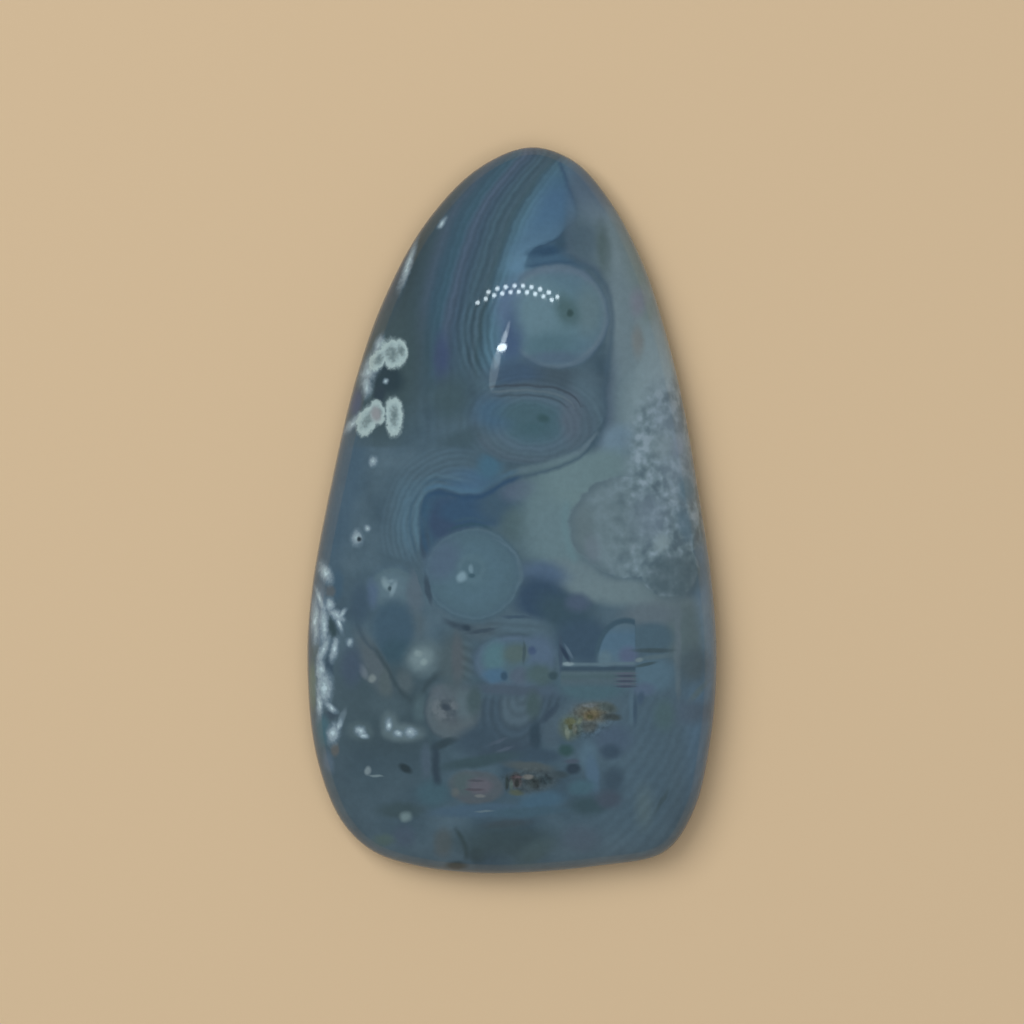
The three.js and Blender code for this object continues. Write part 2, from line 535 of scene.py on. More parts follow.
def lower_contour(marks):
    """The contour under the two large eyes: a pale line over a dark one, which runs left and hooks down."""
    plane = marks.plane
    right = [(5.7, 4.85), (5.3, 4.35), (4.8, 3.85), (4.1, 3.4), (3.0, 2.9), (1.5, 2.45), (0.2, 2.2)]
    left = [(0.4, 2.25), (-0.6, 1.85), (-1.4, 1.3), (-2.3, 1.0), (-3.3, 0.93), (-4.3, 1.15), (-5.2, 1.2),
            (-5.85, 0.95)]
    hook = [(-5.6, 1.1), (-5.95, 0.7), (-6.1, 0.1), (-6.1, -1.2), (-5.95, -2.2), (-5.7, -2.9)]
    marks.patches([
        ((-2.7, 2.0), (2.0, 0.85), (69, 98, 122), 0.9, -6),
        ((-1.5, 3.0), (0.8, 0.9), (66, 99, 118), 1.2),
        ((-7.2, -0.5), (0.8, 2.2), (75, 104, 120), 1.1),
        ((-6.3, 1.4), (1.2, 0.6), (73, 102, 119), 1.1, 20),
    ])
    out = plane.oval((-3.5, -1.4), (2.7, 3.0))
    near = out.rise(1.0, 1.2) * out.rise(2.3, 1.7) * plane.x.rise(-1.5, -4.5) * plane.y.rise(-4.2, -2.8)
    marks.lay(near * 0.6, (75, 97, 110))
    marks.shade(out.waves(0.14) * near * 0.06 + 1)
    for points, across, up, width, colour, soft, share in [
        (right, 0, 0.42, 0.4, (98, 117, 128), 0.2, 0.7),
        (left, -0.1, 0.42, 0.3, (74, 106, 128), 0.16, 0.8),
        (left[4:], -0.1, 0.85, 0.16, (58, 86, 106), 0.16, 0.6),
        (left[4:], -0.1, 1.15, 0.16, (80, 108, 124), 0.16, 0.6),
        (hook, -0.4, 0, 0.26, (82, 112, 128), 0.16, 0.75),
        (hook, -0.8, 0, 0.16, (60, 88, 106), 0.16, 0.6),
        (hook, -1.2, 0, 0.2, (82, 111, 128), 0.2, 0.6),
    ]:
        marks.line([(x + across, y + up) for x, y in points], width, colour, soft, share)
    return right, left, hook


def dark_bay(marks):
    """The dark blue growth below the contour, which fades to a pale grey-green round the crystals."""
    marks.patches([
        ((2.4, -0.2), (3.4, 3.4), (82, 104, 112), 0.8, 20),
        ((-5.2, -0.2), (0.8, 1.2), (58, 86, 104), 0.4, -10),
        ((-5.3, -1.6), (0.7, 1.4), (58, 84, 102), 0.5),
        ((-5.65, 0.2), (0.45, 1.0), (56, 84, 104), 0.3),
        ((-5.1, 0.7), (0.95, 0.5), (56, 82, 103), 0.3),
        ((-4.2, -0.75), (1.5, 1.6), (55, 74, 97), 0.5, 10),
        ((-2.4, 0.0), (2.6, 1.1), (53, 79, 103), 0.5),
        ((-0.7, 0.5), (1.5, 1.5), (62, 85, 101), 1.1),
        ((0.2, -0.9), (0.9, 1.1), (74, 95, 101), 1.2),
        ((0.5, 1.35), (1.2, 0.7), (80, 96, 113), 1.1, 10),
        ((-5.95, -2.3), (0.35, 1.0), (58, 76, 92), 0.9),
        ((3.4, 0.4), (2.3, 2.5), (97, 120, 125), 1.4),
        ((3.2, -1.8), (2.0, 2.5), (97, 120, 127), 1.4, 8),
        ((4.6, -4.6), (2.2, 1.1), (101, 120, 127), 0.9, -20),
        ((5.0, 1.8), (2.0, 1.2), (103, 126, 130), 0.9, 24),
        ((5.2, 2.7), (3.0, 1.25), (101, 124, 129), 0.8, 16),
    ])


def pale_shelf(marks):
    """The pale growth below the crystals."""
    marks.patches([
        ((8.0, -5.6), (3.6, 0.95), (104, 123, 129), 0.9, -6),
        ((11.2, -6.8), (2.4, 0.9), (99, 115, 122), 1.1, -4),
        ((11.9, -8.4), (1.5, 2.0), (87, 105, 110), 0.9),
        ((9.4, -7.1), (1.8, 0.7), (93, 108, 117), 1.2),
        ((11.3, -9.3), (0.24, 3.2), (94, 110, 118), 1.1),
        ((13.5, -5.5), (0.9, 6.0), (112, 138, 158), 1.2, 4, 0.55),
    ])


def contour_lines(marks, right, left, hook):
    """The dark lines of the lower contour, over the growth on both of its sides."""
    marks.line(right, 0.26, (64, 85, 99), soft=0.18, share=0.8)
    marks.line(left, 0.34, (46, 73, 99), soft=0.18, share=0.85)
    marks.line(hook, 0.36, (52, 80, 102), soft=0.2, share=0.8)


def crystals(marks):
    """The patch of small crystals, cut and polished flat: grey grains, some lighter and some darker."""
    graph, plane = marks.graph, marks.plane
    out = plane.oval((8.4, -1.05), (4.55, 3.55))
    upper = plane.oval((11.2, 3.0), (3.3, 5.6))
    lower = plane.oval((10.75, -4.0), (2.05, 1.95))
    fray = graph.noise(marks.solid, 1.1, 2.0, 0.6) * 0.16 - 0.08
    inside = (out + fray).rise(1.02, 0.96)
    inside = inside.most((upper + fray).rise(1.25, 0.8))
    inside = inside.most((lower + fray).rise(1.04, 0.94))
    grain = graph.noise(marks.solid, 1.15, 1.6, 0.6) - 0.5
    body = (grain * (plane.x.rise(5.5, 10.5) * 0.75 + 0.25) + 0.5).ramp([
        (0.36, (84, 103, 113)), (0.44, (97, 117, 126)), (0.5, (108, 128, 136)), (0.56, (118, 138, 148)),
        (0.64, (136, 154, 165)),
    ], 0.36, 0.64)
    marks.lay(inside, body)
    edge = inside * (out + fray).rise(0.78, 0.98) * plane.x.rise(8.5, 5.5)
    marks.lay(edge * 0.8, (80, 99, 108))
    marks.patches([
        ((4.9, -1.2), (0.7, 1.6), (88, 104, 109), 1.2, 0, 0.7),
        ((5.5, -2.6), (0.5, 0.9), (102, 114, 126), 1.2, 10, 0.7),
        ((9.3, -0.5), (1.3, 1.5), (116, 133, 148), 1.3, 0, 0.6),
        ((11.2, 4.2), (1.4, 3.8), (134, 153, 168), 1.2, 10, 0.45),
        ((11.1, -4.5), (2.0, 1.6), (76, 95, 103), 0.7, 8, 0.8),
        ((7.0, -1.0), (2.2, 2.6), (94, 112, 118), 1.3, 0, 0.5),
        ((12.0, 1.5), (0.55, 0.8), (92, 119, 133), 1.2, 0, 0.8),
        ((11.8, -1.0), (0.5, 1.1), (90, 115, 130), 1.2, 16, 0.8),
        ((10.2, -2.2), (0.5, 0.6), (130, 149, 155), 1.3, -20, 0.8),
        ((11.3, 4.4), (0.45, 0.6), (128, 144, 160), 1.2, 0, 0.8),
        ((10.2, 4.4), (0.8, 1.0), (118, 137, 143), 1.3, 0, 0.6),
    ])
    marks.line([(3.7, 0.6), (3.6, -1.0), (3.8, -2.2), (4.2, -3.5)], 0.4, (98, 126, 133), soft=0.25,
               share=0.6)
    return inside


def middle_shadow(marks):
    """The dark blue cloud in the middle, over the straight water line."""
    marks.patches([
        ((2.2, -4.3), (1.5, 0.8), (76, 97, 119), 1.2, -10),
        ((1.9, -6.1), (1.8, 1.5), (52, 73, 93), 0.9, -20),
        ((3.7, -7.3), (2.2, 1.2), (56, 78, 90), 0.9, -35),
        ((4.9, -8.9), (1.9, 1.5), (58, 79, 96), 0.8, -10),
        ((4.5, -6.3), (0.8, 0.6), (72, 88, 107), 1.2),
        ((0.1, -8.1), (2.4, 0.9), (77, 98, 110), 1.0),
        ((0.3, -7.25), (0.9, 0.12), (62, 82, 98), 1.2, -4),
    ])


def middle_eye(marks):
    """The round eye left of the middle, with two chalky dots in it."""
    marks.eye((-2.65, -4.3), (3.3, 3.15), [
        (0.0, (84, 110, 122)), (0.3, (78, 104, 116)), (0.5, (79, 105, 118)), (0.8, (76, 101, 113)),
        (0.9, (74, 98, 111)), (0.96, (79, 103, 116)), (1.0, (68, 92, 105)),
    ], soft=0.08)
    marks.line([(-4.3, -1.3), (-3.3, -0.98), (-2.2, -0.95), (-1.4, -1.25)], 0.18, (50, 78, 90), soft=0.16,
               share=0.8)
    marks.line([(-4.0, -0.72), (-3.0, -0.55), (-1.8, -0.65)], 0.14, (60, 86, 100), soft=0.16, share=0.6)
    marks.line([(-1.2, -1.9), (-0.2, -2.5), (0.45, -3.4), (0.65, -4.4), (0.4, -5.2)], 0.2, (88, 111, 124),
               soft=0.15, share=0.6)
    marks.patches([
        ((-4.7, -3.4), (1.0, 1.4), (77, 97, 115), 1.2, -30),
        ((-2.8, -3.9), (1.0, 0.9), (84, 110, 121), 0.5, 0, 0.6),
        ((-2.8, -4.0), (0.7, 0.6), (74, 100, 112), 0.5, 0, 0.7),
        ((-3.45, -4.5), (0.3, 0.36), (118, 144, 156), 1.2, -20),
        ((-2.78, -3.95), (0.16, 0.28), (104, 130, 142), 1.2),
        ((-2.75, -4.4), (0.22, 0.14), (62, 88, 100), 0.9),
        ((-5.7, -5.4), (0.2, 1.0), (58, 75, 88), 1.0, 10),
    ])


def small_eyes(marks):
    """The three small eyes of the lower left, and the lines that run round them."""
    marks.patch((-8.5, -12.8), (4.2, 3.4), (60, 77, 83), 1.3, share=0.6)
    marks.eye((-8.15, -5.35), (1.7, 1.6), [
        (0.0, (92, 114, 124)), (0.5, (86, 108, 119)), (0.8, (81, 103, 113)), (1.0, (72, 94, 108)),
    ], soft=0.2)
    marks.patches([
        ((-8.65, -5.05), (0.24, 0.4), (116, 138, 146), 1.3, 20),
        ((-8.15, -5.35), (0.2, 0.5), (116, 138, 148), 1.3, -20),
        ((-8.35, -4.85), (0.24, 0.12), (108, 130, 140), 1.3, 20),
        ((-8.42, -5.35), (0.12, 0.16), (60, 80, 88), 1.2),
        ((-6.6, -5.7), (0.55, 1.5), (83, 99, 110), 1.1),
        ((-6.6, -7.9), (0.7, 1.0), (78, 95, 104), 1.2),
        ((-9.6, -5.7), (0.4, 0.9), (77, 97, 118), 1.2),
        ((-10.4, -6.4), (0.6, 1.3), (60, 80, 95), 1.2),
        ((-8.1, -8.0), (1.4, 1.9), (62, 85, 100), 0.6),
        ((-7.9, -9.6), (1.0, 0.8), (56, 80, 92), 1.2),
        ((-5.95, -10.1), (1.35, 1.2), (86, 105, 112), 0.8, 20),
        ((-6.2, -10.1), (0.75, 0.65), (108, 127, 132), 1.2, 20),
        ((-6.4, -9.8), (0.26, 0.22), (120, 139, 142), 1.2),
        ((-6.0, -10.35), (0.22, 0.2), (124, 143, 146), 1.2),
        ((-9.4, -10.6), (0.75, 2.2), (80, 93, 100), 1.1, 25),
        ((-8.6, -12.0), (0.4, 1.2), (78, 92, 96), 1.2),
        ((-7.3, -11.7), (0.55, 0.8), (77, 92, 98), 1.2),
        ((-10.15, -10.95), (0.22, 0.55), (98, 110, 118), 1.1, 25),
        ((-9.5, -11.5), (0.26, 0.26), (112, 124, 126), 1.1),
        ((-10.9, -10.6), (0.7, 1.3), (64, 80, 96), 1.2),
    ])
    marks.line([(-10.6, -7.6), (-10.0, -8.9), (-9.2, -9.7)], 0.3, (56, 74, 86), soft=0.2, share=0.6)
    marks.line([(-9.4, -9.4), (-8.5, -10.7), (-8.0, -11.7), (-7.3, -12.7), (-6.6, -12.95), (-5.9, -12.0),
                (-5.2, -11.3), (-4.3, -10.9)], 0.55, (54, 70, 77), soft=0.28, share=0.75)
    marks.patches([
        ((-8.2, -15.6), (2.6, 0.9), (60, 77, 85), 1.0, 0, 0.7),
        ((-8.5, -13.4), (1.3, 0.7), (69, 87, 95), 1.2),
        ((-6.3, -13.5), (0.45, 0.9), (74, 94, 101), 1.2),
    ])
    marks.eye((-4.0, -13.7), (2.0, 2.05), [
        (0.0, (76, 88, 96)), (0.3, (80, 91, 98)), (0.55, (85, 97, 103)), (0.85, (83, 97, 104)),
        (1.0, (67, 82, 91)),
    ], soft=0.08)
    marks.patch((-4.7, -12.4), (0.8, 0.6), (86, 98, 106), 1.1)
    marks.patch((-3.2, -13.1), (0.6, 1.1), (86, 103, 110), 1.2)
    ring = marks.plane.oval((-4.65, -13.5), (1.0, 0.75))
    flecks = marks.graph.noise(marks.solid, 1.3, 2.0, 0.6)
    near = ring.rise(1.3, 0.6)
    marks.lay(flecks.rise(0.48, 0.62) * near * 0.7, (102, 112, 118))
    marks.lay(flecks.rise(0.48, 0.38) * near * 0.5, (64, 76, 85))
    marks.patch((-4.5, -13.4), (0.34, 0.2), (58, 70, 80), 1.2, -20)


def water_line(marks):
    """The straight water line: level bands laid down in a hollow, with a pale blue half dome on them."""
    plane = marks.plane
    marks.patches([
        ((12.4, -10.6), (1.0, 1.2), (75, 92, 100), 1.2),
        ((12.7, -12.45), (0.9, 0.22), (86, 106, 114), 1.3, 48),
        ((12.1, -13.8), (1.5, 0.8), (78, 96, 111), 1.2),
        ((10.4, -14.0), (0.7, 1.0), (74, 97, 103), 1.2),
        ((5.4, -12.0), (2.2, 0.95), (72, 98, 108), 0.7),
        ((9.6, -8.7), (1.4, 1.0), (73, 96, 109), 0.7),
        ((9.7, -11.2), (1.4, 1.1), (82, 108, 123), 0.9),
        ((9.0, -12.2), (0.75, 0.45), (82, 100, 120), 1.1),
        ((8.75, -12.8), (0.24, 0.45), (66, 86, 104), 1.1, -10),
    ])
    dome = plane.oval((7.75, -10.1), (1.85, 2.4))
    shell = plane.oval((7.75, -10.1), (2.15, 2.75))
    upright = plane.x.rise(8.45, 8.3)
    marks.lay(shell.rise(1.06, 0.96) * upright * plane.y.rise(-10.6, -9.4), (61, 84, 98))
    marks.lay(dome.rise(1.05, 0.95) * upright * plane.y.rise(-10.55, -10.45), plane.y.ramp([
        (-10.4, (84, 108, 122)), (-9.4, (80, 107, 126)), (-8.5, (78, 105, 124)), (-7.7, (84, 106, 118)),
    ], -10.4, -7.7))
    marks.patches([
        ((7.9, -9.9), (0.6, 0.6), (84, 98, 122), 1.1),
        ((6.3, -10.1), (0.45, 0.5), (90, 114, 126), 1.2),
        ((9.6, -9.55), (1.3, 0.16), (64, 82, 90), 1.0),
        ((9.9, -9.98), (1.1, 0.16), (85, 105, 114), 1.2, 6),
        ((9.1, -10.5), (0.7, 0.12), (64, 84, 92), 1.0, 12),
        ((8.65, -10.2), (0.26, 0.14), (106, 124, 130), 1.0, 12),
    ])
    bands = plane.y.rise(-10.6, -10.7) * plane.y.rise(-12.2, -11.8)
    marks.lay(bands * plane.x.rise(3.2, 3.4) * plane.x.rise(8.5, 8.3), plane.y.ramp([
        (-12.1, (74, 97, 108)), (-11.6, (78, 97, 106)), (-11.3, (74, 95, 102)), (-11.05, (80, 100, 108)),
        (-10.82, (58, 78, 92)), (-10.7, (60, 80, 94)),
    ], -12.1, -10.7))
    marks.line([(3.4, -10.45), (5.0, -10.46), (8.4, -10.42)], 0.19, (90, 112, 123), soft=0.08, share=0.95,
               fade=0.2)
    marks.patch((3.8, -10.44), (0.35, 0.13), (124, 144, 152), 1.0)
    for step in range(3):
        level = -11.1 - 0.36 * step
        marks.patch((7.75, level), (0.7, 0.08), (84, 94, 108), 1.1)
        marks.patch((7.75, level - 0.17), (0.65, 0.08), (66, 76, 92), 1.0)
    marks.patches([
        ((3.3, -9.7), (0.14, 1.1), (62, 80, 96), 1.1),
        ((3.6, -9.75), (0.14, 0.6), (46, 62, 80), 1.0, 30),
        ((3.85, -9.6), (0.1, 0.5), (82, 102, 118), 1.1, 30),
        ((8.15, -13.4), (0.18, 1.0), (80, 103, 117), 1.5),
        ((8.38, -13.6), (0.14, 0.9), (62, 82, 98), 1.5),
    ])


def lower_middle(marks):
    """The many-coloured eye below the middle, and the nested arcs and waved lines round it."""
    graph, plane = marks.graph, marks.plane
    marks.patches([
        ((-2.3, -7.9), (1.2, 0.9), (73, 90, 100), 1.1),
        ((-3.9, -10.3), (1.1, 1.9), (74, 90, 96), 1.1),
        ((-3.7, -10.0), (0.4, 1.6), (80, 90, 96), 1.1),
    ])
    marks.eye((0.1, -10.35), (2.9, 1.95), [
        (0.0, (78, 102, 112)), (0.6, (76, 99, 113)), (0.85, (80, 100, 117)), (1.0, (68, 87, 100)),
    ], turn=-4, soft=0.1)
    marks.patches([
        ((1.9, -9.7), (1.0, 1.1), (81, 101, 121), 1.0),
        ((-1.2, -9.9), (0.8, 1.0), (80, 112, 121), 1.0),
        ((0.2, -9.75), (0.85, 0.65), (80, 99, 100), 1.0),
        ((-1.2, -11.2), (0.8, 0.5), (72, 102, 125), 1.1),
        ((0.5, -11.3), (0.6, 0.6), (80, 95, 110), 1.1),
        ((1.9, -11.2), (0.9, 0.7), (73, 94, 98), 1.1),
        ((-0.5, -11.25), (0.24, 0.32), (54, 78, 96), 1.0),
        ((1.35, -9.6), (0.3, 0.28), (66, 84, 110), 1.1),
        ((0.78, -9.7), (0.12, 0.7), (66, 84, 90), 1.1),
        ((2.75, -11.25), (0.3, 0.28), (56, 76, 84), 1.0),
    ])
    wander = graph.noise(marks.solid, 0.7, 2.0) * 4
    waves = plane.y.waves(0.62, plane.x * 0.9 + wander)
    band = plane.oval((-0.6, -8.0), (3.0, 0.95)).rise(1.1, 0.6)
    marks.shade(waves * band * 0.07 + 1)
    marks.patches([
        ((-3.6, -7.75), (0.9, 0.3), (58, 74, 86), 1.2, -16),
        ((-3.1, -8.0), (0.28, 0.18), (48, 64, 76), 1.2, -30),
        ((-2.1, -8.2), (0.9, 0.12), (60, 76, 88), 1.2, 10),
    ])
    dashes = plane.oval((-3.05, -10.3), (0.5, 2.2)).rise(1.1, 0.5)
    marks.shade(plane.y.waves(0.7, plane.x * 4 + wander * 0.5) * dashes * 0.1 + 1)
    marks.patch((0.2, -12.25), (2.9, 0.4), (72, 87, 101), 1.1, -4)
    marks.patch((2.7, -12.4), (0.9, 0.5), (72, 90, 105), 1.1)
    arcs = plane.oval((0.7, -12.6), (1.75, 2.9), -20)
    below = plane.y.rise(-12.3, -13.0)
    marks.lay(arcs.rise(1.9, 1.3) * below * 0.8, (62, 79, 92))
    marks.lay(arcs.rise(0.9, 0.6) * below, (77, 95, 106))
    marks.shade(arcs.waves(0.3, wander * 0.4) * arcs.rise(1.8, 1.4) * below * 0.09 + 1)
    marks.patches([
        ((1.4, -13.2), (0.5, 0.9), (67, 86, 90), 1.2),
        ((1.6, -15.4), (0.38, 1.1), (50, 68, 80), 1.1),
        ((2.7, -15.0), (0.65, 1.1), (72, 90, 102), 1.1),
        ((2.6, -13.8), (0.75, 0.25), (56, 72, 86), 1.1, 46),
        ((-0.7, -16.3), (1.9, 0.5), (60, 76, 89), 1.1, 12),
        ((-1.2, -15.85), (0.8, 0.12), (76, 90, 104), 1.1, 20),
        ((-0.6, -16.35), (0.6, 0.12), (74, 88, 102), 1.1, 20),
        ((-2.6, -12.9), (0.5, 1.0), (68, 86, 91), 1.2),
    ])


def rust(marks):
    """The rust-brown grains, in two loose rows."""
    marks.patches([
        ((6.9, -15.6), (1.3, 1.0), (72, 90, 107), 1.2),
        ((5.2, -13.9), (2.3, 1.2), (78, 97, 108), 0.8, 16),
        ((5.4, -13.85), (1.3, 0.75), (90, 93, 86), 0.9, 10),
        ((5.4, -14.0), (0.55, 0.34), (100, 94, 74), 1.0, 10),
        ((5.3, -14.12), (0.2, 0.15), (72, 72, 52), 1.0),
        ((5.3, -13.3), (0.5, 0.14), (98, 106, 108), 1.1),
        ((6.5, -13.45), (0.6, 0.3), (72, 84, 84), 1.1, -10),
        ((6.8, -14.1), (0.6, 0.25), (60, 70, 72), 1.0),
        ((5.3, -14.8), (0.55, 0.35), (72, 80, 80), 1.0, 10),
        ((3.95, -14.8), (0.75, 0.8), (82, 96, 90), 0.9),
        ((4.0, -14.4), (0.4, 0.25), (90, 96, 74), 1.0),
        ((4.0, -14.75), (0.2, 0.2), (74, 80, 62), 1.0),
        ((3.75, -15.1), (0.16, 0.4), (106, 118, 108), 1.0, 10),
        ((4.3, -14.9), (0.16, 0.32), (106, 114, 106), 1.0),
        ((4.65, -14.35), (0.14, 0.3), (94, 104, 92), 1.0, -20),
        ((3.7, -16.35), (0.5, 0.4), (52, 78, 80), 1.1),
        ((5.2, -16.7), (0.6, 0.9), (80, 104, 119), 1.0),
        ((5.55, -18.0), (0.45, 1.2), (77, 101, 120), 0.9, 8),
        ((4.8, -18.9), (0.9, 0.5), (68, 96, 108), 1.0, 10),
        ((6.75, -16.5), (0.7, 0.5), (58, 76, 91), 1.1),
        ((6.9, -18.4), (0.7, 0.9), (60, 78, 91), 1.2),
        ((6.6, -19.7), (0.8, 0.6), (68, 80, 93), 1.2),
        ((4.2, -17.6), (0.48, 0.4), (48, 63, 75), 0.9),
        ((4.1, -17.1), (0.5, 0.15), (72, 84, 98), 1.1),
        ((3.2, -18.0), (0.7, 0.25), (58, 73, 80), 1.0),
        ((1.3, -18.35), (1.9, 0.85), (66, 79, 85), 0.6, 2),
        ((1.2, -17.45), (1.6, 0.3), (76, 87, 90), 1.0, -6),
        ((1.5, -18.55), (0.5, 0.42), (56, 66, 68), 0.9),
        ((0.25, -18.4), (0.42, 0.5), (70, 70, 72), 0.9),
        ((0.3, -18.6), (0.16, 0.28), (46, 50, 50), 0.9),
        ((0.35, -18.15), (0.4, 0.09), (92, 84, 88), 1.0),
        ((1.1, -18.15), (0.32, 0.18), (104, 106, 104), 0.9),
        ((2.35, -18.4), (0.45, 0.32), (52, 66, 72), 0.9),
        ((-0.1, -18.75), (0.14, 0.4), (76, 90, 88), 1.0),
        ((-0.4, -18.6), (0.12, 0.5), (50, 62, 64), 1.0),
        ((0.3, -19.25), (0.5, 0.2), (80, 90, 80), 1.1),
    ])
    upper_row = marks.plane.oval((5.2, -14.3), (2.1, 1.4), 16).rise(1.1, 0.6)
    lower_row = marks.plane.oval((1.2, -18.4), (2.2, 0.9)).rise(1.1, 0.6)
    grains = marks.graph.noise(marks.solid, 2.4, 2.0, 0.6) - 0.5
    marks.shade(grains * upper_row.most(lower_row) * 1.7 + 1)


def lower_bands(marks):
    """The level bands and blue streaks near the foot of the stone."""
    marks.patches([
        ((-2.4, -15.6), (1.4, 0.9), (60, 78, 91), 1.1, 20),
        ((2.0, -16.7), (1.4, 0.5), (59, 78, 92), 1.1, -6),
        ((-2.2, -17.1), (2.6, 0.4), (58, 78, 85), 1.0, 10),
        ((-5.9, -17.1), (0.35, 1.1), (72, 89, 102), 1.1),
        ((-2.5, -18.9), (1.9, 1.15), (79, 89, 96), 0.3, -4),
        ((-3.3, -18.6), (0.8, 0.7), (76, 92, 96), 1.1),
        ((-2.2, -18.8), (0.8, 0.55), (92, 93, 102), 0.9),
        ((-2.5, -18.45), (0.5, 0.1), (76, 80, 88), 0.9),
        ((-2.6, -19.05), (0.6, 0.1), (78, 78, 86), 0.9),
        ((-2.2, -19.5), (0.35, 0.12), (104, 110, 112), 0.9),
        ((-3.9, -19.25), (0.3, 0.3), (88, 96, 98), 1.0),
        ((-2.0, -20.5), (3.6, 0.45), (70, 93, 110), 0.9, 2),
        ((2.0, -19.85), (1.5, 0.6), (68, 96, 114), 0.9, 8),
        ((1.0, -20.6), (2.4, 0.35), (66, 91, 105), 0.9, 3),
        ((-1.9, -20.55), (0.6, 0.07), (92, 112, 122), 1.1),
        ((-0.4, -21.45), (1.6, 0.28), (63, 77, 86), 1.1, 4),
        ((-5.4, -19.3), (1.1, 0.9), (65, 91, 102), 1.0),
    ])
    marks.line([(-5.15, -15.8), (-5.25, -17.2), (-5.1, -18.7)], 0.5, (46, 61, 73), soft=0.22, share=0.85)
    marks.patch((-4.6, -15.9), (0.8, 0.3), (52, 68, 76), 1.1, 20)
    marks.patch((-4.7, -22.8), (0.6, 1.0), (80, 91, 95), 1.1)
    marks.line([(-3.9, -21.8), (-3.5, -22.5), (-3.2, -23.1), (-3.15, -23.9)], 0.32, (44, 58, 60), soft=0.18,
               share=0.8)
    marks.patches([
        ((-2.4, -23.6), (0.6, 0.6), (52, 69, 76), 1.2),
        ((-3.8, -24.4), (0.7, 0.3), (50, 62, 64), 1.1),
        ((-7.3, -17.65), (0.45, 0.26), (42, 56, 62), 0.9, -30),
        ((-7.6, -20.5), (1.5, 0.5), (60, 78, 84), 1.2),
        ((-7.4, -22.3), (0.7, 0.7), (69, 85, 100), 1.2),
        ((-8.8, -22.6), (0.7, 0.4), (74, 94, 94), 1.2),
        ((-9.88, -17.8), (0.2, 0.3), (112, 128, 134), 1.0),
        ((-9.3, -18.17), (0.45, 0.08), (104, 122, 128), 1.0),
        ((-7.25, -20.95), (0.36, 0.33), (106, 126, 130), 1.3),
        ((-12.6, -17.3), (0.35, 0.7), (80, 99, 114), 1.2, 10),
        ((-0.5, -22.7), (3.6, 1.1), (57, 74, 78), 1.2, 0, 0.8),
        ((1.5, -23.4), (1.3, 0.6), (68, 87, 92), 1.2, 30),
        ((4.7, -22.5), (1.3, 0.9), (76, 92, 105), 1.2),
        ((5.2, -20.2), (1.2, 0.6), (57, 78, 86), 1.2),
        ((10.2, -19.9), (0.16, 0.8), (64, 82, 90), 1.3, -30),
        ((9.0, -20.3), (0.6, 1.3), (85, 104, 110), 1.6, 0, 0.8),
    ])
    out = marks.plane.oval((0.2, -4.0), (13.9, 21.0))
    near = out.rise(0.55, 0.75) * marks.plane.x.rise(4.0, 8.0) * marks.plane.y.rise(-11.0, -14.0)
    wander = marks.graph.noise(marks.solid, 0.35, 2.0) * 6
    marks.shade(out.waves(0.042, wander) * near * 0.045 + 1)


# Chalky spots: their shades from the middle outwards, and each one's centre, radii and turn in degrees.
BRIGHT_CHALK = [
    (0.0, (172, 194, 202)), (0.3, (142, 162, 170)), (0.55, (132, 150, 160)), (0.85, (118, 138, 150)),
    (1.0, (106, 128, 142)),
]
HOLLOW_CHALK = [
    (0.0, (96, 115, 118)), (0.3, (116, 134, 136)), (0.55, (146, 166, 168)), (0.85, (160, 180, 180)),
    (1.0, (130, 150, 154)),
]
UPPER_KNOTS = [
    ((-8.2, 10.75), (0.85, 1.05), 20), ((-9.15, 10.35), (0.55, 0.95), -40),
    ((-7.65, 10.9), (0.45, 0.85), 10), ((-9.95, 6.15), (0.66, 1.05), -20), ((-9.3, 6.7), (0.6, 0.85), 0),
    ((-8.1, 6.4), (0.64, 1.35), 0),
]
UPPER_VEINS = [
    ((-9.75, 9.7), (0.6, 1.3), -25), ((-9.2, 11.3), (0.3, 0.8), -20), ((-9.95, 8.6), (0.4, 0.9), 0),
    ((-10.95, 5.9), (0.3, 0.9), -40), ((-8.65, 8.85), (0.2, 0.22), 0), ((-7.15, 16.8), (0.26, 1.8), -20),
    ((-4.75, 19.75), (0.2, 0.5), -40),
]
MIDDLE_KNOTS = [
    ((-10.6, -1.85), (0.42, 0.55), 0), ((-9.86, -1.2), (0.22, 0.24), 0), ((-9.48, 3.35), (0.3, 0.4), 0),
]
LOWER_KNOTS = [
    ((-12.8, -4.3), (0.42, 0.8), 20), ((-12.5, -6.45), (0.35, 0.5), 10), ((-12.0, -7.2), (0.36, 0.7), 50),
    ((-11.6, -7.1), (0.2, 0.45), -40), ((-11.8, -7.8), (0.2, 0.65), 20), ((-13.2, -6.1), (0.2, 0.9), 20),
    ((-12.9, -7.8), (0.34, 1.6), 0), ((-12.95, -9.6), (0.34, 1.1), -20), ((-13.1, -10.9), (0.36, 1.0), 0),
    ((-13.5, -7.6), (0.32, 1.7), 0), ((-12.85, -12.1), (0.62, 1.2), 0), ((-13.2, -13.2), (0.26, 1.1), 0),
    ((-12.4, -13.5), (0.24, 0.6), 50), ((-12.15, -9.5), (0.3, 0.85), -10), ((-11.1, -9.0), (0.26, 0.28), 0),
    ((-12.2, -15.3), (0.42, 0.75), -10), ((-11.85, -14.8), (0.2, 0.5), -20),
    ((-10.45, -15.1), (0.36, 0.36), 0), ((-10.2, -15.4), (0.35, 0.2), 0), ((-8.45, -14.6), (0.28, 0.42), 0),
    ((-7.75, -15.2), (0.34, 0.26), 0), ((-6.9, -15.1), (0.42, 0.34), 0),
]


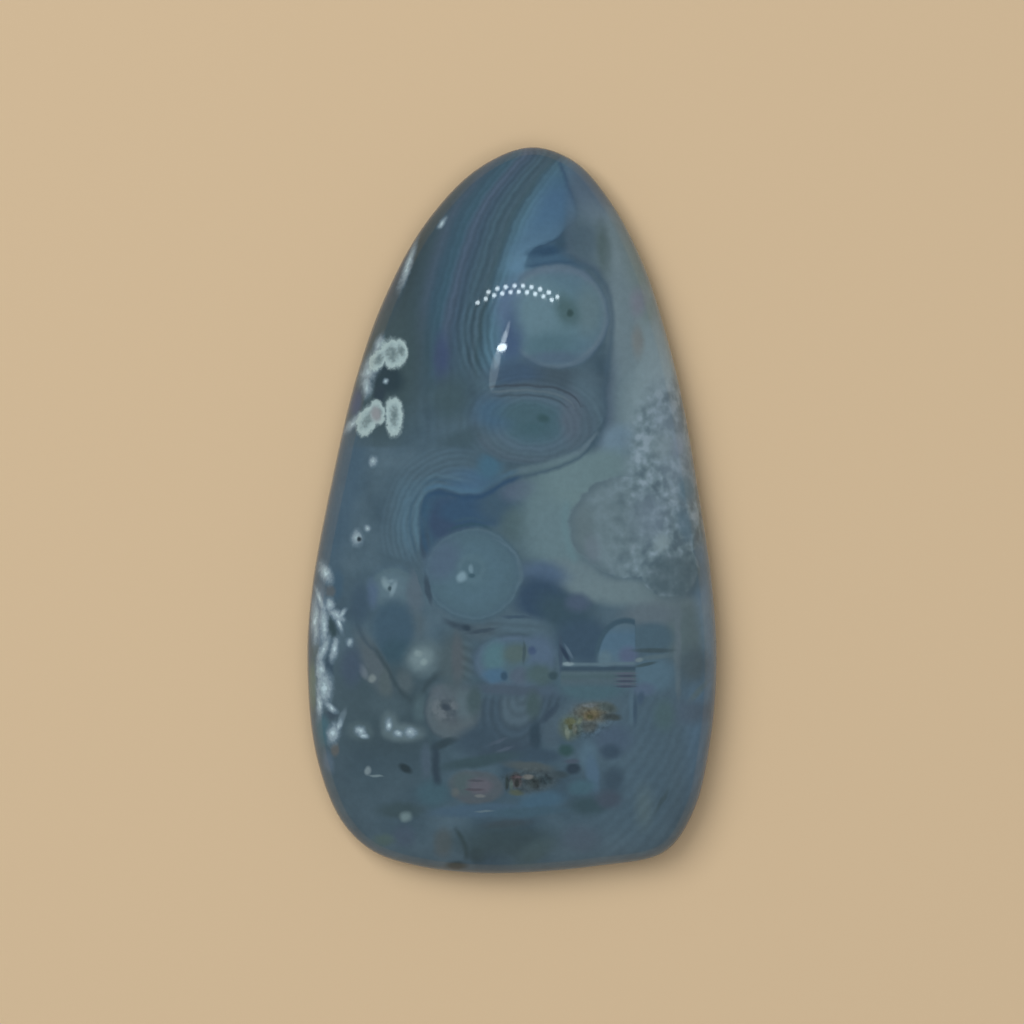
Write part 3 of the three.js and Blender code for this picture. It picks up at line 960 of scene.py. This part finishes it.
def stains(marks):
    """Dark and coloured stains among the chalky veins of the lower left edge."""
    marks.patches([
        ((-12.0, -5.1), (0.4, 1.0), (60, 85, 102), 1.0),
        ((-12.5, -5.5), (0.35, 0.4), (80, 90, 96), 1.0),
        ((-12.4, -8.0), (0.35, 0.9), (48, 68, 74), 1.0, 25),
        ((-13.25, -7.2), (0.5, 1.9), (98, 116, 130), 1.0),
        ((-13.5, -9.6), (0.3, 0.5), (70, 88, 93), 1.0),
        ((-12.45, -10.6), (0.28, 0.8), (54, 74, 88), 1.0),
        ((-13.7, -12.0), (0.3, 1.6), (90, 108, 102), 1.0),
        ((-12.4, -14.0), (0.5, 0.3), (58, 74, 86), 1.0),
        ((-12.9, -15.1), (0.45, 1.0), (66, 97, 108), 1.0),
        ((-12.1, -16.4), (0.25, 0.45), (86, 90, 90), 1.0),
        ((-11.6, -14.2), (0.2, 0.6), (92, 110, 120), 1.0, -20),
        ((-7.4, -15.15), (1.3, 0.6), (92, 110, 116), 1.0),
        ((-8.4, -14.6), (0.6, 0.8), (88, 106, 112), 1.0),
        ((-10.4, -15.1), (0.8, 0.6), (76, 94, 100), 1.0),
    ])


def chalk(marks, knots, hollow, brightness=1.0):
    """Chalk-white knots and veins with soft edges. Hollow ones have a grey, pitted middle."""
    fray = marks.graph.noise(marks.solid, 2.6, 2.0, 0.65) - 0.5
    nearest = None
    for centre, radii, turn in knots:
        out = marks.plane.oval(centre, radii, turn)
        nearest = out if nearest is None else nearest.least(out)
    if hollow:
        inside = (nearest + fray * 0.5).rise(1.25, 0.75)
        shades = (nearest + fray * 0.9).ramp(HOLLOW_CHALK)
    else:
        inside = (nearest + fray * 0.6).rise(1.5, 0.4)
        shades = (nearest + fray * 1.3).ramp(BRIGHT_CHALK)
    marks.lay(inside * brightness, shades)
    return inside


# Curves in millimetres between the stone's upper, middle and lower markings.
UPPER_BOUNDARY = [(-14.5, 4.3), (-6, 4.3), (-2.2, 4.1), (-0.6, 3.35), (1.4, 3.1), (3.0, 3.65), (4.1, 4.15),
                  (5.3, 5.05), (6.5, 6.6), (7.0, 8.4), (8.5, 9.8), (14.5, 9.8)]
LOWER_BOUNDARY = [(-14.5, -3.0), (-8, -3.2), (-6.7, -4.0), (-6.2, -5.2), (-5.2, -6.9), (-2.65, -7.75),
                  (-0.5, -7.4), (1.5, -7.2), (5.5, -7.1), (9, -7.2), (14.5, -7.6)]


# The polish, and how much duller chalk and the sawn back are than it.
POLISH_ROUGHNESS = 0.03
CHALK_DULLNESS = 0.1
SAWN_DULLNESS = 0.45
AGATE_IOR = 1.54
# The grains per millimetre of the noises that cloud, speck, swirl and ripple the markings.
CLOUD_SCALE = 0.24
SPECK_SCALE = 2.2
SWIRL_SCALE = 0.3
RIPPLE_SCALE = 1.4
# How far the swirls and the ripples push the markings about, in millimetres. They push the water line less.
SWIRL_REACH = 0.28
RIPPLE_REACH = 0.2
WATER_LINE_REACH = 0.1
# Half the width in millimetres over which two zones of markings blend.
ZONE_BLEND = 0.2
# A bluish reflection painted on the steep edge, and its greatest share.
PAINTED_RIM_SHEEN = (76, 106, 132)
PAINTED_RIM_SHEEN_SHARE = 0.35


def agate_material():
    """Polished agate. Its markings are colour in the stone, so the polish lies over them without a step.
    Its low edge also has a painted shade and a painted bluish reflection.
    """
    material = bpy.data.materials.new("polished_agate")
    graph = Graph(material)
    metres = graph.node("ShaderNodeTexCoord", output=3)
    solid = graph.vector("SCALE", metres, scale=1 / MM)
    cloud = graph.noise(solid, CLOUD_SCALE, 3.0, 0.55)
    swirl = graph.vector("SUBTRACT", graph.noise(solid, SWIRL_SCALE, 1.0, output=1), (0.5, 0.5, 0.5))
    ripple = graph.vector("SUBTRACT", graph.noise(solid, RIPPLE_SCALE, 1.0, output=1), (0.5, 0.5, 0.5))
    moved = graph.vector("ADD", solid, graph.vector("SCALE", swirl, scale=SWIRL_REACH))
    moved = graph.vector("ADD", moved, graph.vector("SCALE", ripple, scale=RIPPLE_REACH))
    calmer = graph.vector("ADD", solid, graph.vector("SCALE", swirl, scale=WATER_LINE_REACH))
    swirled = Plane(graph, graph.vector("MULTIPLY", moved, (1, 1, 0)))
    level = Plane(graph, graph.vector("MULTIPLY", calmer, (1, 1, 0)))
    ground = Markings(graph, solid, swirled, cloud.ramp([
        (0.32, (58, 78, 91)), (0.5, (70, 91, 103)), (0.68, (80, 101, 113)),
    ]))
    ground.patch((-9.0, -16.0), (4.5, 5.5), (60, 77, 85), 1.4, share=0.6)
    ground.patch((9.3, -14.5), (4.8, 9.5), (77, 98, 111), 1.4, share=0.75)
    ground.patch((-11.7, 1.5), (1.3, 6.5), (56, 83, 103), 1.2, -12, 0.6)
    ground.patch((13.3, -13.0), (1.3, 8.5), (88, 118, 142), 1.2, -2, 0.6)
    speck = graph.noise(solid, SPECK_SCALE, 3.0, 0.6)
    height = graph.vector("DOT_PRODUCT", solid, (0, 0, 1), output=1)
    # The stone's own speckled tone, times a painted shade: the low edge, below 3.4 mm, is painted darker.
    speck_and_edge_shade = speck * 0.24 + height.rise(1.8, 3.4) * 0.1 + 0.78
    upper_zone = (swirled.y - swirled.x.curve(UPPER_BOUNDARY)).rise(-ZONE_BLEND, ZONE_BLEND)
    lower_zone = (swirled.y - swirled.x.curve(LOWER_BOUNDARY)).rise(ZONE_BLEND, -ZONE_BLEND)
    # A painted bluish reflection on the low, steep edge, strongest at the rim and gone above 3.4 mm.
    rim = height.rise(3.4, RIM_HEIGHT) * PAINTED_RIM_SHEEN_SHARE
    sawn_back = height.rise(0.12, 0.03) * SAWN_DULLNESS

    def polished(marks, chalky):
        """The finished shader of one zone's markings, with a painted shade and a painted bluish reflection
        on the low edge.
        """
        # The speckled tone, with a painted shade on the low edge.
        marks.shade(speck_and_edge_shade)
        # A painted bluish reflection on the steep edge.
        marks.lay(rim, PAINTED_RIM_SHEEN)
        return graph.node("ShaderNodeBsdfPrincipled", inputs={
            "Base Color": marks.colour,
            "Roughness": chalky * CHALK_DULLNESS + sawn_back + POLISH_ROUGHNESS,
            "IOR": AGATE_IOR,
        })

    upper = Markings(graph, solid, swirled, ground.colour)
    growth_columns(upper)
    blue_flame(upper)
    pale_band(upper)
    pale_side(upper)
    upper_eye(upper)
    lower_eye(upper)
    left_streaks(upper)
    upper.patch((-8.6, 9.3), (2.6, 4.9), (58, 76, 81), 1.1, -8)
    upper.patch((-8.6, 9.0), (1.2, 1.0), (40, 58, 66), 0.8, -20)
    upper.patch((-9.1, 7.9), (0.4, 0.6), (42, 58, 68), 1.0)
    upper.patch((-10.7, 7.4), (0.35, 0.9), (64, 80, 104), 1.2, -8)
    chalk(upper, UPPER_VEINS, hollow=False, brightness=0.85)
    chalky = chalk(upper, UPPER_KNOTS, hollow=True)
    upper.patch((-9.35, 6.6), (0.3, 0.5), (132, 136, 140), 1.3)
    upper_shader = polished(upper, chalky)

    middle = Markings(graph, solid, swirled, ground.colour)
    pale_band(middle)
    lines = lower_contour(middle)
    dark_bay(middle)
    pale_shelf(middle)
    middle_shadow(middle)
    contour_lines(middle, *lines)
    middle_eye(middle)
    grainy = crystals(middle)
    chalky = chalk(middle, MIDDLE_KNOTS, hollow=False, brightness=0.85)
    middle.patch((-10.4, -1.95), (0.16, 0.18), (40, 54, 62), 1.0)
    middle_shader = polished(middle, chalky.most(grainy * 0.3))

    lower = Markings(graph, solid, swirled, ground.colour)
    pale_shelf(lower)
    middle_shadow(lower)
    small_eyes(lower)
    lower_middle(lower)
    lower_bands(lower)
    rust(lower)
    lower.plane = level
    water_line(lower)
    lower.plane = swirled
    stains(lower)
    lower_shader = polished(lower, chalk(lower, LOWER_KNOTS, hollow=False))

    shader = graph.node("ShaderNodeMixShader", inputs={0: upper_zone, 1: middle_shader, 2: upper_shader})
    shader = graph.node("ShaderNodeMixShader", inputs={0: lower_zone, 1: shader, 2: lower_shader})
    graph.node("ShaderNodeOutputMaterial", inputs={0: shader})
    return material


piece, polish = make_stone()
piece.data.materials.append(agate_material())
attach(piece, "root")
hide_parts("agate")

# The floor, plain and pale.
FLOOR_SIZE = 3
FLOOR_COLOUR = (208, 181, 146)
bpy.ops.mesh.primitive_plane_add(size=FLOOR_SIZE)
floor = bpy.context.object
floor.name = "floor"
floor_paint = bpy.data.materials.new("pale_floor")
floor_graph = Graph(floor_paint)
floor_shader = floor_graph.node("ShaderNodeBsdfPrincipled", inputs={
    "Base Color": tint(*FLOOR_COLOUR),
    "Roughness": 0.7,
    "Specular IOR Level": 0.2,
})
floor_graph.node("ShaderNodeOutputMaterial", inputs={0: floor_shader})
floor.data.materials.append(floor_paint)

# The camera looks straight down on the stone.
VIEW_WIDTH = 70.49 * MM
CAMERA_HEIGHT = 420 * MM
SENSOR = 36
lens = bpy.data.cameras.new("camera")
lens.sensor_width = SENSOR
lens.lens = SENSOR * (CAMERA_HEIGHT - RIM_HEIGHT * MM) / VIEW_WIDTH
lens.clip_start = 0.01
camera = bpy.data.objects.new("camera", lens)
camera.location = (-0.01 * MM, -0.11 * MM, CAMERA_HEIGHT)
bpy.context.collection.objects.link(camera)
bpy.context.scene.camera = camera


LAMP_DISTANCE = 300 * MM
# The face's slope is felt this far to each side of a place, in millimetres, with lines from this height.
PROBE = 0.4
PROBE_HEIGHT = 100 * MM
GLINT_STRENGTH = 290
WINDOW_LIGHT = (0.8, 0.93, 1.0)
LAMP_LIGHT = (0.965, 1.0, 1.02)


def lamp(name, place, power, size):
    """A square lamp at a place, facing the stone. The camera sees neither the lamp nor its mirror image."""
    light = bpy.data.lights.new(name, "AREA")
    light.energy = power
    light.color = LAMP_LIGHT
    light.size = size
    lit = bpy.data.objects.new(name, light)
    facing = place.to_track_quat("Z", "Y")
    lit.matrix_world = Matrix.Translation(place) @ facing.to_matrix().to_4x4()
    lit.visible_camera = False
    lit.visible_glossy = False
    bpy.context.collection.objects.link(lit)


def mirrored(x, y):
    """Where a lamp has to be for the camera to see it mirrored at a place on the face, and that place."""
    place, right, left, upper, lower = (
        polish.ray_cast(Vector(((x + across) * MM, (y + up) * MM, PROBE_HEIGHT)), Vector((0, 0, -1)))[0]
        for across, up in ((0, 0), (PROBE, 0), (-PROBE, 0), (0, PROBE), (0, -PROBE))
    )
    normal = (right - left).cross(upper - lower).normalized()
    to_camera = (camera.location - place).normalized()
    return place + (2 * normal.dot(to_camera) * normal - to_camera) * LAMP_DISTANCE, place


def glint(name, x, y, length, width, turn=0, brightness=1.0):
    """A lamp whose mirror image on the face is an oval at a place, its length turned by some degrees."""
    along = Vector((math.cos(math.radians(turn)), math.sin(math.radians(turn)))) / 2
    centre, seen = mirrored(x, y)
    facing = (centre - seen).normalized()
    level = facing.orthogonal().normalized()
    upright = facing.cross(level)
    spans = []
    for step in (length * along, width * Vector((-along.y, along.x))):
        span = mirrored(x + step.x, y + step.y)[0] - mirrored(x - step.x, y - step.y)[0]
        spans.append((level.dot(span), upright.dot(span)))
    turned, size, _ = np.linalg.svd(np.array(spans).T)
    across = (level * float(turned[0, 0]) + upright * float(turned[1, 0])).normalized()
    light = bpy.data.lights.new(name, "AREA")
    light.shape = "ELLIPSE"
    light.color = WINDOW_LIGHT
    light.size, light.size_y = map(float, size)
    light.energy = brightness * GLINT_STRENGTH * light.size * light.size_y
    lit = bpy.data.objects.new(name, light)
    lit.matrix_world = Matrix((across, facing.cross(across), facing)).transposed().to_4x4()
    lit.location = centre
    lit.visible_camera = False
    lit.visible_diffuse = False
    bpy.context.collection.objects.link(lit)


for name, place, power, size in [
    ("key", (-0.3, 0.28, 0.62), 3.35, 0.45),
    ("ceiling", (0.05, -0.08, 0.9), 3.45, 0.7),
]:
    lamp(name, Vector(place), power, size)
# A lit lattice and a lit window mirror as two rows of dots, and as a spot with a streak above and below it.
for row, (count, start, step, height, bend, middle) in enumerate([
    (9, -1.6, 0.585, 15.32, 0.105, 0.4),
    (10, -2.35, 0.56, 14.9, 0.1, 0.35),
]):
    for dot in range(count):
        across = start + dot * step
        up = height - bend * (across - middle) ** 2
        glint(f"row_{row}_{dot}", across, up, 0.3, 0.27, brightness=0.13)
for name, place, size, turn, brightness in [
    ("spot", (-0.7, 11.08), (0.68, 0.46), 18, 0.22),
    ("streak_near", (-0.55, 11.7), (1.1, 0.34), 74, 0.034),
    ("streak_far", (-0.4, 12.1), (1.7, 0.24), 74, 0.024),
    ("streak_below", (-1.0, 10.3), (1.3, 0.4), 78, 0.014),
    ("streak_foot", (-1.2, 9.6), (2.8, 0.6), 80, 0.012),
]:
    glint(name, *place, *size, turn, brightness)

# The room: faint soft light, a little brighter near the horizon than overhead.
AIR_OVERHEAD = 0.15
AIR_AT_HORIZON = 0.27
AIR_COLOUR = (0.95, 0.97, 1.0, 1)
world = bpy.data.worlds.new("room")
bpy.context.scene.world = world
room = Graph(world)
direction = room.node("ShaderNodeTexCoord", output=0)
up = room.vector("DOT_PRODUCT", direction, (0, 0, 1), output=1)
air = room.node("ShaderNodeBackground", inputs={
    "Color": AIR_COLOUR,
    "Strength": up.rise(0.95, 0.3) * (AIR_AT_HORIZON - AIR_OVERHEAD) + AIR_OVERHEAD,
})
room.node("ShaderNodeOutputWorld", inputs={0: air})
bpy.context.scene.view_settings.view_transform = "Standard"
